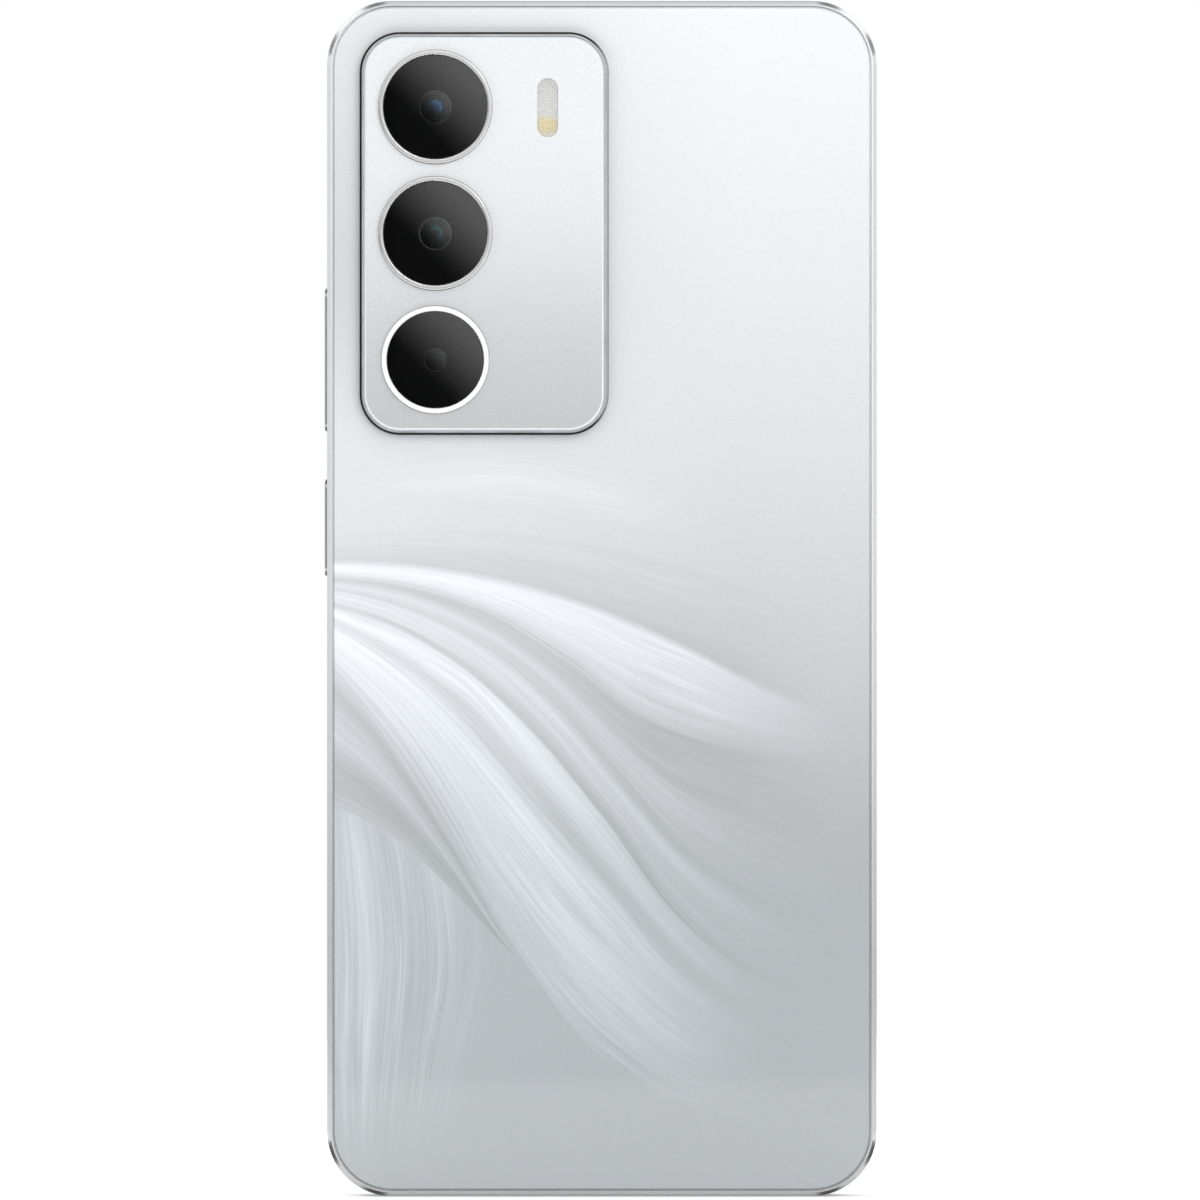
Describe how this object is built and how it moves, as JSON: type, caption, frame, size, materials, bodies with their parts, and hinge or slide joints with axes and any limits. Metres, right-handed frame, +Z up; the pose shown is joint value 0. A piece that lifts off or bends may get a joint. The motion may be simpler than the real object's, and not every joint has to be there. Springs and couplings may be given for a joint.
{
  "type": "smartphone",
  "caption": "Slim bar smartphone with a silver-white feather-print rear cover, raised camera island, flat side rails, side keys, SIM tray and full inner assembly.",
  "frame": {"origin": "middle of the flat bottom edge, where the phone stands upright", "axes": "+Z up the phone's length, +Y out of the rear cover (display faces -Y), +X across, towards the side with the keys"},
  "size_m": [0.0766, 0.0099, 0.1657],
  "materials": {
    "frame_paint": "silver paint, satin gloss",
    "key_paint": "silver paint, satin",
    "rear_cover_print": "glossy, silver-white feather print under a clear coat",
    "display_cover_glass": "polished, black behind",
    "display_stack": "matt",
    "backlight_film": "white film",
    "island_rim": "dark polished",
    "island_plate": "glossy silver-white",
    "silver_ring": "polished",
    "white_ring": "white lacquer",
    "lens_cover_glass": "polished, coated",
    "lens_black": "black print",
    "flash_diffuser": "fine ribs",
    "flash_phosphor": "yellow phosphor on white",
    "die_cast": "bead blasted",
    "black_plastic": "fine grain",
    "camera_body": "black",
    "thin_steel": "rolled",
    "mesh_steel": "woven, dark",
    "circuit_board": "solder mask",
    "chip_black": "moulded",
    "flex_film": "polyimide film",
    "battery_foil": "black wrapped foil",
    "tape": "foam tape",
    "graphite": "graphite foil",
    "seal_rubber": "silicone"
  },
  "bodies": {
    "phone": {"antenna_cable": "flex_film", "battery": "battery_foil", "battery_adhesive": "tape", "board_chips": "chip_black", "board_connectors": "chip_black", "board_shields": "thin_steel", "camera_island_frame": "island_rim", "camera_island_plate": "island_plate", "casing_adhesives": "tape", "charging_board": "circuit_board", "depth_camera": "camera_body", "display_backlight": "backlight_film", "display_flex": "flex_film", "display_glass": "display_cover_glass", "display_panel": "display_stack", "earpiece_case": "black_plastic", "earpiece_mesh": "mesh_steel", "fixed_camera_lenses": "lens_cover_glass", "flash_led": "flash_phosphor", "flash_window": "flash_diffuser", "front_camera": "lens_black", "graphite_sheet": "graphite", "inner_cover_screws": "thin_steel", "key_bracket": "thin_steel", "key_flex": "flex_film", "large_lens_glasses": "lens_cover_glass", "lens_masks": "lens_black", "loudspeaker_box": "black_plastic", "loudspeaker_driver": "thin_steel", "loudspeaker_mesh": "mesh_steel", "lower_inner_cover": "black_plastic", "main_board": "circuit_board", "main_camera_housing": "camera_body", "main_flex": "flex_film", "microphones": "camera_body", "mid_plate": "die_cast", "rear_cover": "rear_cover_print", "side_frame": "frame_paint", "silver_lens_rings": "silver_ring", "sim_socket": "thin_steel", "small_lens_glass": "lens_cover_glass", "upper_inner_cover": "black_plastic", "usb_c_shell": "thin_steel", "usb_c_tongue": "chip_black", "vibration_motor_case": "thin_steel", "white_lens_ring": "white_ring", "wide_camera": "camera_body"},
    "power_key": {"power_key": "key_paint", "power_key_seals": "seal_rubber"},
    "volume_key": {"volume_key": "key_paint", "volume_key_seals": "seal_rubber"},
    "sim_tray": {"sim_tray": "key_paint", "sim_tray_seal": "seal_rubber"},
    "eject_rod": {"eject_rod": "thin_steel"},
    "eject_lever": {"eject_lever": "thin_steel"},
    "focus_lens": {"main_camera_barrel": "lens_black", "main_camera_lens": "lens_cover_glass"},
    "loudspeaker_diaphragm": {"loudspeaker_diaphragm": "lens_black"},
    "earpiece_diaphragm": {"earpiece_diaphragm": "lens_black"},
    "motor_rotor": {"vibration_motor_rotor": "thin_steel"}
  },
  "joints": [
    {"name": "power_key_press", "type": "slide", "parent": "phone", "child": "power_key", "axis": [-1, 0, 0], "range_m": [0, 0.00025], "stiffness_N_per_m": 2500, "springref_m": -0.0002},
    {"name": "volume_key_rock", "type": "hinge", "parent": "phone", "child": "volume_key", "pos_m": [0.0372, 0, 0.116], "axis": [0, 1, 0], "range_deg": [-1.4, 1.4], "stiffness_Nm_per_rad": 0.36},
    {"name": "sim_tray_slide", "type": "slide", "parent": "phone", "child": "sim_tray", "axis": [-1, 0, 0], "range_m": [0, 0.026]},
    {"name": "eject_rod_slide", "type": "slide", "parent": "phone", "child": "eject_rod", "axis": [1, 0, 0], "range_m": [0, 0.0012]},
    {"name": "eject_lever_swing", "type": "hinge", "parent": "phone", "child": "eject_lever", "pos_m": [-0.0101, 0.00145, 0.1364], "axis": [0, -1, 0], "range_deg": [0, 19.6]},
    {"name": "main_camera_focus", "type": "slide", "parent": "phone", "child": "focus_lens", "axis": [0, 1, 0], "range_m": [0, 0.0003], "stiffness_N_per_m": 150, "springref_m": -0.0001},
    {"name": "loudspeaker_stroke", "type": "slide", "parent": "phone", "child": "loudspeaker_diaphragm", "axis": [0, 1, 0], "range_m": [-0.0003, 0.0003], "stiffness_N_per_m": 800},
    {"name": "earpiece_stroke", "type": "slide", "parent": "phone", "child": "earpiece_diaphragm", "axis": [0, 1, 0], "range_m": [-0.0001, 0.0001], "stiffness_N_per_m": 600},
    {"name": "motor_rotor_spin", "type": "hinge", "parent": "phone", "child": "motor_rotor", "pos_m": [-0.0275, 0.0003, 0.0118], "axis": [0, 1, 0], "continuous": true}
  ],
  "couplings": [
    {"joint": "eject_lever_swing", "follows": "eject_rod_slide", "rad_per_m": 285.07}
  ]
}
